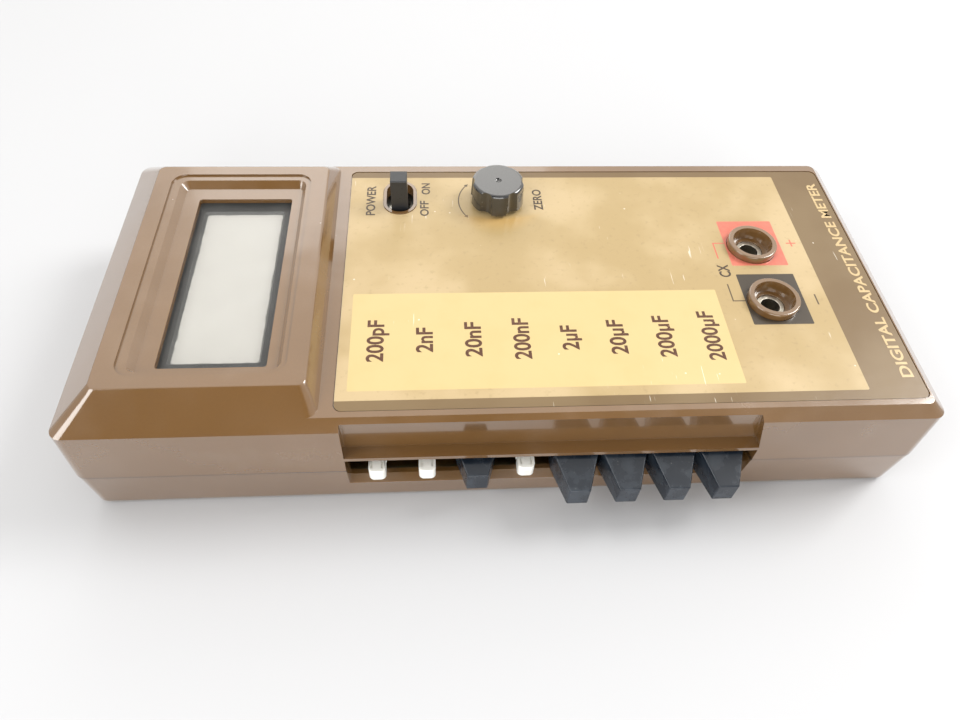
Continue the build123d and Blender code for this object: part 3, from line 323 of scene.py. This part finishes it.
# %% Softened copies
def softened(node, finish, edge=0.2, sharper_than=25):
    """A welded, smooth-shaded copy of a CAD piece with rounded edges, edge in millimetres."""
    mesh = nodes[node].data.copy()
    piece = bpy.data.objects.new(f"{node}_finished", mesh)
    bpy.context.scene.collection.objects.link(piece)
    bpy.ops.object.select_all(action="DESELECT")
    piece.select_set(True)
    bpy.context.view_layer.objects.active = piece
    if mesh.has_custom_normals:
        bpy.ops.mesh.customdata_custom_splitnormals_clear()
    bpy.ops.object.mode_set(mode="EDIT")
    bpy.ops.mesh.select_all(action="SELECT")
    bpy.ops.mesh.remove_doubles(threshold=0.002 * MM)
    bpy.ops.mesh.dissolve_limited(angle_limit=math.radians(0.4))
    bpy.ops.object.mode_set(mode="OBJECT")
    if edge:
        rounding = piece.modifiers.new("rounding", "BEVEL")
        rounding.width = edge * MM
        rounding.segments = 3
        rounding.limit_method = "ANGLE"
        rounding.angle_limit = math.radians(sharper_than)
        rounding.use_clamp_overlap = True
        bpy.ops.object.modifier_apply(modifier="rounding")
    bpy.ops.object.shade_smooth_by_angle(angle=math.radians(34))
    flats = piece.modifiers.new("flats", "WEIGHTED_NORMAL")
    flats.keep_sharp = True
    bpy.ops.object.modifier_apply(modifier="flats")
    piece.data.materials.clear()
    piece.data.materials.append(finish)
    dress(piece, node)
    return piece


BODIES = {node: body for body, members in frame["record"]["behaviour"]["bodies"].items() for node in members}


def dress(piece, node):
    """The piece stands for a CAD node: the node is hidden and the piece moves with its body."""
    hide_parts(node)
    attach(piece, BODIES[node])


def coat(material, *names):
    """Gives CAD pieces that stay as they are their finish."""
    for name in names:
        nodes[name].data.materials.clear()
        nodes[name].data.materials.append(material)


shell = softened("upper_case", CASE, edge=0.3)
softened("lower_case", CASE, edge=0.15)
softened("battery_door", CASE, edge=0.15)
print("upper shell:", len(shell.data.polygons), "faces after rounding")

# %% [markdown]
# The panel label is one sheet of printed film: a gold field inside a grey-brown border, a pale
# yellow block behind the range names, a red patch and a grey patch round the sockets, and a few
# lines. All of that is printed flat, so it is painted here by masks that compare the place with
# rectangles. Rubbing has cleared some of the gold, and a few long pale scratches cross it.

# %% Printed label
GOLD = (0.48, 0.365, 0.205)
BORDER = (0.165, 0.105, 0.045)
YELLOW = (0.60, 0.47, 0.225)
RED = (0.58, 0.13, 0.09)
GREY = (0.05, 0.038, 0.026)
INK = (0.055, 0.035, 0.02)


def printed_label():
    finish = Finish("printed label", GOLD, 0.3)
    knob_x, knob_y = [sum(pair) / 2 for pair in zip(*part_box("zero_pot_shaft"))][:2]
    stain = finish.noise(20 * MM, 3)
    fine = finish.noise(1.2 * MM, 4)
    grime = finish.between(stain, 0.36, 0.66)
    gold = finish.blend(grime, (0.42, 0.31, 0.15), (0.52, 0.40, 0.225))
    speckled = finish.blend(finish.between(fine, 0.56, 0.75) * 0.3, gold, (0.30, 0.22, 0.11))
    border = finish.blend(grime * 0.6, BORDER, (0.21, 0.145, 0.07))
    field = finish.box_mask(span(-40, 70.6), span(-33.0, 32.4), 0.4 * MM)
    paint = finish.blend(field, border, speckled)
    yellow = finish.blend(finish.between(finish.noise(7 * MM, 4), 0.4, 0.75) * 0.35, YELLOW, (0.60, 0.43, 0.19))
    paint = finish.blend(finish.box_mask(span(-31.6, 46.3), span(-30.8, -5.8), 0.3 * MM), paint, yellow)
    red_patch = finish.box_mask(span(52.2, 65.2), span(1.4, 16.0), 0.3 * MM)
    grey_patch = finish.box_mask(span(52.2, 65.3), span(-15.9, -1.3), 0.3 * MM)
    paint = finish.blend(red_patch, paint, finish.blend(fine * 0.3, RED, (0.72, 0.36, 0.25)))
    paint = finish.blend(grey_patch, paint, GREY)
    plus = finish.box_mask(span(66.8, 69.1), span(8.3, 8.65)) | finish.box_mask(span(67.75, 68.1), span(7.4, 9.6))
    lead_to_plus = (finish.box_mask(span(49.4, 52.3), span(8.5, 8.8))
                    | finish.box_mask(span(49.4, 49.7), span(3.7, 8.8)))
    paint = finish.blend(plus | lead_to_plus, paint, RED)
    minus = finish.box_mask(span(67.9, 68.25), span(-10.5, -7.5))
    lead_to_minus = (finish.box_mask(span(49.4, 52.3), span(-9.3, -9.0))
                     | finish.box_mask(span(49.4, 49.7), span(-9.3, -4.2)))
    across, along = finish.x - knob_x, finish.y - knob_y
    radius = across.math("SQRT", across * across + along * along)
    turn = along.math("ARCTAN2", along, across * -1.0)
    past = turn.away(0.03)
    line = finish.between(past, 0.615, 0.62, 0.14 * MM, 0.0)
    head = finish.between(past, 0.62, 0.74, 0.45 * MM, 0.0) * finish.between(past, 0.615, 0.62)
    arrow = finish.between(radius.away(9.1 * MM) - line - head, 0.05 * MM, -0.05 * MM) & finish.between(
        past, 0.74, 0.73)
    paint = finish.blend((minus | lead_to_minus | arrow) * 0.9, paint, INK)
    hairs = finish.noise(0.5 * MM, 2, finish.stretched(1.0, 0.06, 1.0))
    scuffs = finish.between(hairs, 0.70, 0.74) & finish.between(finish.noise(11 * MM, 2), 0.56, 0.64)
    dots = finish.specks(3.5 * MM, 0.16, 0.07)
    paint = finish.blend((scuffs * 0.7) | (dots * 0.6), paint, (0.86, 0.82, 0.72))
    around = finish.between(radius, 5.5 * MM, 12.0 * MM, 0.6, 0.0) & finish.between(along, -4 * MM, -9 * MM)
    paint = finish.blend(around, paint, (0.60, 0.36, 0.10))
    finish.put(finish.shader.inputs["Base Color"], paint)
    finish.put(finish.shader.inputs["Roughness"], 0.27 + grime * 0.1 + fine * 0.08 + scuffs * 0.2)
    finish.bump(finish.noise(3 * MM, 3) + fine * 0.15 - scuffs * 0.2, 0.04 * MM)
    return finish.material


coat(printed_label(), "front_label")

# %% [markdown]
# The lettering is printed on the film. A Text object is easy to set and has crisp edges at any
# distance, so each word is typed, turned into a mesh, squeezed to its real height and length and
# laid a hair above the film. Words of one ink are joined into one piece.

# %% Lettering
label_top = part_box("front_label")[1].z


def set_word(words, middle, tall, long=None, reads_up=True):
    """A word as a mesh, its capitals tall and the whole word long, in millimetres."""
    measured = []
    for body in ("H", words):
        bpy.ops.object.select_all(action="DESELECT")
        bpy.ops.object.text_add(location=(0, 0, 0))
        text = bpy.context.active_object
        text.data.body = body
        text.data.align_x = "CENTER"
        text.data.extrude = 0.004
        text.data.offset = 0.022 if body == words else 0.0
        text.data.resolution_u = 4
        bpy.ops.object.convert(target="MESH")
        measured.append(bpy.context.active_object)
    capital, word = measured
    capital_height = capital.dimensions.y
    bpy.data.objects.remove(capital)
    width = max(v.co.x for v in word.data.vertices) - min(v.co.x for v in word.data.vertices)
    scale_y = tall * MM / capital_height
    scale_x = long * MM / width if long else scale_y
    word.data.transform(Matrix.Translation((0, -capital_height / 2, 0)))
    word.data.transform(Matrix.Diagonal((scale_x, scale_y, 0.002, 1)))
    if reads_up:
        word.data.transform(Matrix.Rotation(math.radians(90), 4, "Z"))
    word.data.transform(Matrix.Translation((middle[0] * MM, middle[1] * MM, label_top + 0.012 * MM)))
    return word


def print_words(name, ink, words):
    """Joins words into one printed piece that stays with the case."""
    made = [set_word(*word) for word in words]
    bpy.ops.object.select_all(action="DESELECT")
    for word in made:
        word.select_set(True)
    bpy.context.view_layer.objects.active = made[0]
    bpy.ops.object.join()
    piece = bpy.context.active_object
    piece.name = name
    piece.data.materials.clear()
    piece.data.materials.append(ink)
    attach(piece, "case")
    print(name, "has", len(piece.data.polygons), "faces")
    return piece


def ink(name, colour, faded):
    finish = Finish(name, colour, 0.35)
    wear = finish.between(finish.noise(0.8 * MM, 4), 0.5, 0.8)
    finish.put(finish.shader.inputs["Base Color"], finish.blend(wear * 0.6, colour, faded))
    finish.put(finish.shader.inputs["Roughness"], 0.3 + wear * 0.15)
    return finish.material


range_places = [-26.6 + 9.83 * i for i in range(8)]
RANGES = [("200pF", 10.7), ("2nF", 6.4), ("20nF", 9.0), ("200nF", 10.7), ("2µF", 6.4), ("20µF", 9.0),
          ("200µF", 10.9), ("2000µF", 13.0)]
brown_ink = ink("brown ink", (0.085, 0.03, 0.012), (0.20, 0.10, 0.05))
print_words("range_names", brown_ink,
            [(words, (x, -18.5), 3.2, long) for x, (words, long) in zip(range_places, RANGES)])
dark_ink = ink("dark ink", INK, (0.2, 0.15, 0.09))
print_words("control_names", dark_ink, [
    ("POWER", (-29.0, 24.0), 2.0, 10.4), ("OFF", (-16.5, 21.2), 1.9, 5.3), ("ON", (-16.1, 28.3), 1.9, 4.1),
    ("ZERO", (10.5, 24.2), 2.0, 7.4), ("CX", (49.9, -0.25), 2.4, 3.8)])
pale_ink = ink("pale ink", (0.56, 0.42, 0.22), (0.36, 0.28, 0.16))
print_words("title", pale_ink, [("DIGITAL CAPACITANCE METER", (79.7, -0.4), 2.3, 60.0)])

# %% [markdown]
# The display is a stack: a clear lens on top, a black frame round the glass, and the glass itself,
# which looks like pale grey paper when it is off. Damp has crept in round its rim, so the edge of
# the glass is smudged dark. The lens is thin and dusty.

# %% Display
def display_glass():
    finish = Finish("liquid crystal glass", (0.62, 0.60, 0.52), 0.22)
    low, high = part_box("lcd_glass")
    rim_x = (low.x + 5.4 * MM, high.x - 5.4 * MM)
    rim_y = (low.y + 4.0 * MM, high.y - 4.0 * MM)
    ragged = finish.noise(2.2 * MM, 5)
    clear = finish.box_mask(rim_x, rim_y, 0.8 * MM, 0.9 * MM)
    damp = finish.between(clear + (ragged - 0.5) * 0.7, 0.35, 0.75, 1.0, 0.0)
    haze = finish.noise(9 * MM, 3)
    pale = finish.blend(haze, (0.43, 0.425, 0.40), (0.49, 0.485, 0.465))
    finish.put(finish.shader.inputs["Base Color"], finish.blend(damp * 0.9, pale, (0.045, 0.05, 0.05)))
    finish.put(finish.shader.inputs["Roughness"], 0.2 + haze * 0.1)
    return finish.material


def dusty_lens():
    finish = Finish("dusty lens", (0.75, 0.76, 0.74), 0.06)
    dust = finish.specks(1.6 * MM, 0.25, 0.10)
    film = finish.noise(6 * MM, 4)
    finish.put(finish.shader.inputs["Alpha"], 0.03 + film * 0.05 + dust * 0.4)
    finish.put(finish.shader.inputs["Roughness"], 0.05 + film * 0.08)
    return finish.material


def plain_plastic(name, colour, roughness=0.4, grain=0.35, depth=0.02, mottle=0.25):
    """Moulded plastic with a fine grain and a little unevenness in colour."""
    finish = Finish(name, colour, roughness)
    fine = finish.noise(grain * MM, 3)
    broad = finish.noise(6 * MM, 3)
    shade = finish.blend(broad, tuple(c * (1 - mottle) for c in colour), tuple(min(c * (1 + mottle), 0.9) for c in colour))
    dusty = finish.blend(finish.specks(1.5 * MM, 0.12, 0.08) * 0.4, shade, (0.45, 0.42, 0.38))
    finish.put(finish.shader.inputs["Base Color"], dusty)
    finish.put(finish.shader.inputs["Roughness"], roughness - 0.06 + fine * 0.12)
    finish.bump(fine, depth * MM)
    return finish.material


coat(display_glass(), "lcd_glass")
coat(dusty_lens(), "display_window")
BLACK = plain_plastic("black plastic", (0.018, 0.02, 0.022), 0.32)
softened("display_bezel", BLACK, edge=0.12)

# %% [markdown]
# The key caps are glossy blue-black wedges with dust on their tops. The bare plungers are
# milky white nylon, yellowed a little where they rub in their guides.

# %% Keys
def cap_plastic():
    finish = Finish("cap plastic", (0.012, 0.018, 0.028), 0.2)
    smear = finish.noise(3.5 * MM, 5)
    dust = finish.specks(0.9 * MM, 0.3, 0.10)
    rubbed = finish.blend(finish.between(smear, 0.42, 0.72) * 0.35, (0.010, 0.016, 0.026), (0.075, 0.095, 0.12))
    finish.put(finish.shader.inputs["Base Color"], finish.blend(dust * 0.45, rubbed, (0.4, 0.4, 0.38)))
    finish.put(finish.shader.inputs["Roughness"], 0.16 + smear * 0.22)
    finish.bump(smear + finish.noise(0.4 * MM, 2) * 0.1, 0.03 * MM)
    return finish.material


def nylon():
    finish = Finish("white nylon", (0.78, 0.78, 0.74), 0.38)
    stain = finish.noise(2.4 * MM, 4)
    finish.put(finish.shader.inputs["Base Color"], finish.blend(
        finish.between(stain, 0.55, 0.8) * 0.35, (0.97, 0.98, 0.94), (0.70, 0.64, 0.52)))
    finish.put(finish.shader.inputs["Roughness"], 0.32 + stain * 0.12)
    finish.bump(finish.noise(0.35 * MM, 2), 0.02 * MM)
    return finish.material


CAP = cap_plastic()
NYLON = nylon()
for number in range(1, 9):
    softened(f"range_plunger_{number}", NYLON, edge=0.12)
    if f"key_cap_{number}" in nodes:
        softened(f"key_cap_{number}", CAP, edge=0.0)

# %% [markdown]
# The zero knob is fluted black plastic. The power lever is the end of a slide switch, black too,
# with a scuffed top. The test sockets are nickel-plated tubes, dulled by years of plugs.

# %% Controls and sockets
KNOB = plain_plastic("knob plastic", (0.012, 0.014, 0.016), 0.17, depth=0.008)
KNOB.node_tree.nodes["Principled BSDF"].inputs["IOR"].default_value = 1.65
KNOB.node_tree.nodes["Principled BSDF"].inputs["Coat Weight"].default_value = 1.0
softened("zero_knob", KNOB, edge=0.25)
softened("power_switch_lever", plain_plastic("lever plastic", (0.022, 0.024, 0.028), 0.3), edge=0.0)


def worn_metal(name, colour, roughness=0.3, tarnish=(0.16, 0.12, 0.08)):
    finish = Finish(name, colour, roughness, metallic=1.0)
    stain = finish.between(finish.noise(1.8 * MM, 5), 0.46, 0.72)
    lines = finish.noise(0.25 * MM, 2, finish.stretched(1, 1, 0.05))
    finish.put(finish.shader.inputs["Base Color"], finish.blend(stain * 0.55, colour, tarnish))
    finish.put(finish.shader.inputs["Roughness"], roughness + stain * 0.2 + lines * 0.1)
    finish.bump(lines, 0.01 * MM)
    return finish.material


NICKEL = worn_metal("dulled nickel", (0.60, 0.57, 0.50), 0.28)
for name in ("positive_socket", "negative_socket", "socket_nuts"):
    softened(name, NICKEL, edge=0.1)

# %% [markdown]
# What is inside shows through the key slot and round the lever, and whenever someone opens the
# model up, so each of these pieces has a true finish too: plated steel, green board laminate,
# black chip packages, coloured sleeves.

# %% Inside pieces
STEEL = worn_metal("plated steel", (0.55, 0.54, 0.52), 0.35)
TIN = worn_metal("switch housing", (0.66, 0.65, 0.60), 0.3)
softened("range_switch_frame", STEEL, edge=0.1)
softened("case_screws", STEEL, edge=0.1)
coat(STEEL, "latch_bar", "latch_spring", "range_switch_pins", "board_screws", "plunger_spring_3")
coat(TIN, "power_switch_body")

# %% [markdown]
# Seven of the eight springs lie behind keys that are out, and shorten as their key goes in. Each is a softened copy
# with a mesh of its own. The third key is held in, so its spring is at its shortest already.

# %% Springs
for number in (1, 2, 4, 5, 6, 7, 8):
    spring = softened(f"plunger_spring_{number}", STEEL, edge=0.0)
    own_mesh(spring)

# %% [markdown]
# The boards and everything soldered to them.

# %% Boards and their parts


def board_laminate():
    finish = Finish("board laminate", (0.03, 0.13, 0.05), 0.35)
    tracks = finish.cells(2.2 * MM)
    copper = finish.between(tracks, 0.30, 0.34)
    finish.put(finish.shader.inputs["Base Color"], finish.blend(copper, (0.05, 0.20, 0.08), (0.025, 0.11, 0.04)))
    finish.bump(copper, 0.02 * MM)
    return finish.material


coat(board_laminate(), "main_board", "control_board", "display_board")
INSIDE = {
    "board_header": (0.02, 0.02, 0.02), "display_ribbon": (0.30, 0.31, 0.33), "zebra_strips": (0.25, 0.12, 0.14),
    "battery_pad": (0.03, 0.03, 0.03), "zero_pot_body": (0.05, 0.12, 0.30), "zero_pot_shaft": (0.60, 0.58, 0.50),
    "range_switch_bodies": (0.62, 0.60, 0.52), "battery_snap": (0.02, 0.02, 0.02),
    "battery_lead_red": (0.45, 0.02, 0.02), "battery_lead_black": (0.015, 0.015, 0.015),
    "logic_chips": (0.022, 0.022, 0.024), "film_capacitors": (0.08, 0.26, 0.10),
    "electrolytic_capacitors": (0.02, 0.05, 0.18), "trimmers": (0.03, 0.14, 0.45), "resistors": (0.50, 0.36, 0.20)}
for name, colour in INSIDE.items():
    coat(plain_plastic(name.replace("_", " ") + " finish", colour, 0.45), name)


def battery_jacket():
    """Black jacket with a copper-coloured band at the terminal end, bare of any words."""
    finish = Finish("battery jacket", (0.02, 0.02, 0.02), 0.3)
    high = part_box("battery")[1]
    band = finish.between(finish.y, high.y - 16 * MM, high.y - 15.9 * MM)
    cap = finish.between(finish.y, high.y - 2.5 * MM, high.y - 2.4 * MM)
    jacket = finish.blend(band, (0.02, 0.02, 0.022), (0.55, 0.30, 0.12))
    finish.put(finish.shader.inputs["Base Color"], finish.blend(cap, jacket, (0.6, 0.6, 0.58)))
    finish.put(finish.shader.inputs["Metallic"], band * 0.8)
    finish.bump(finish.noise(2 * MM, 2), 0.02 * MM)
    return finish.material


softened("battery", battery_jacket(), edge=0.1)

# %% [markdown]
# Last, the view layer is brought up to date.

# %% Last update
bpy.context.view_layer.update()
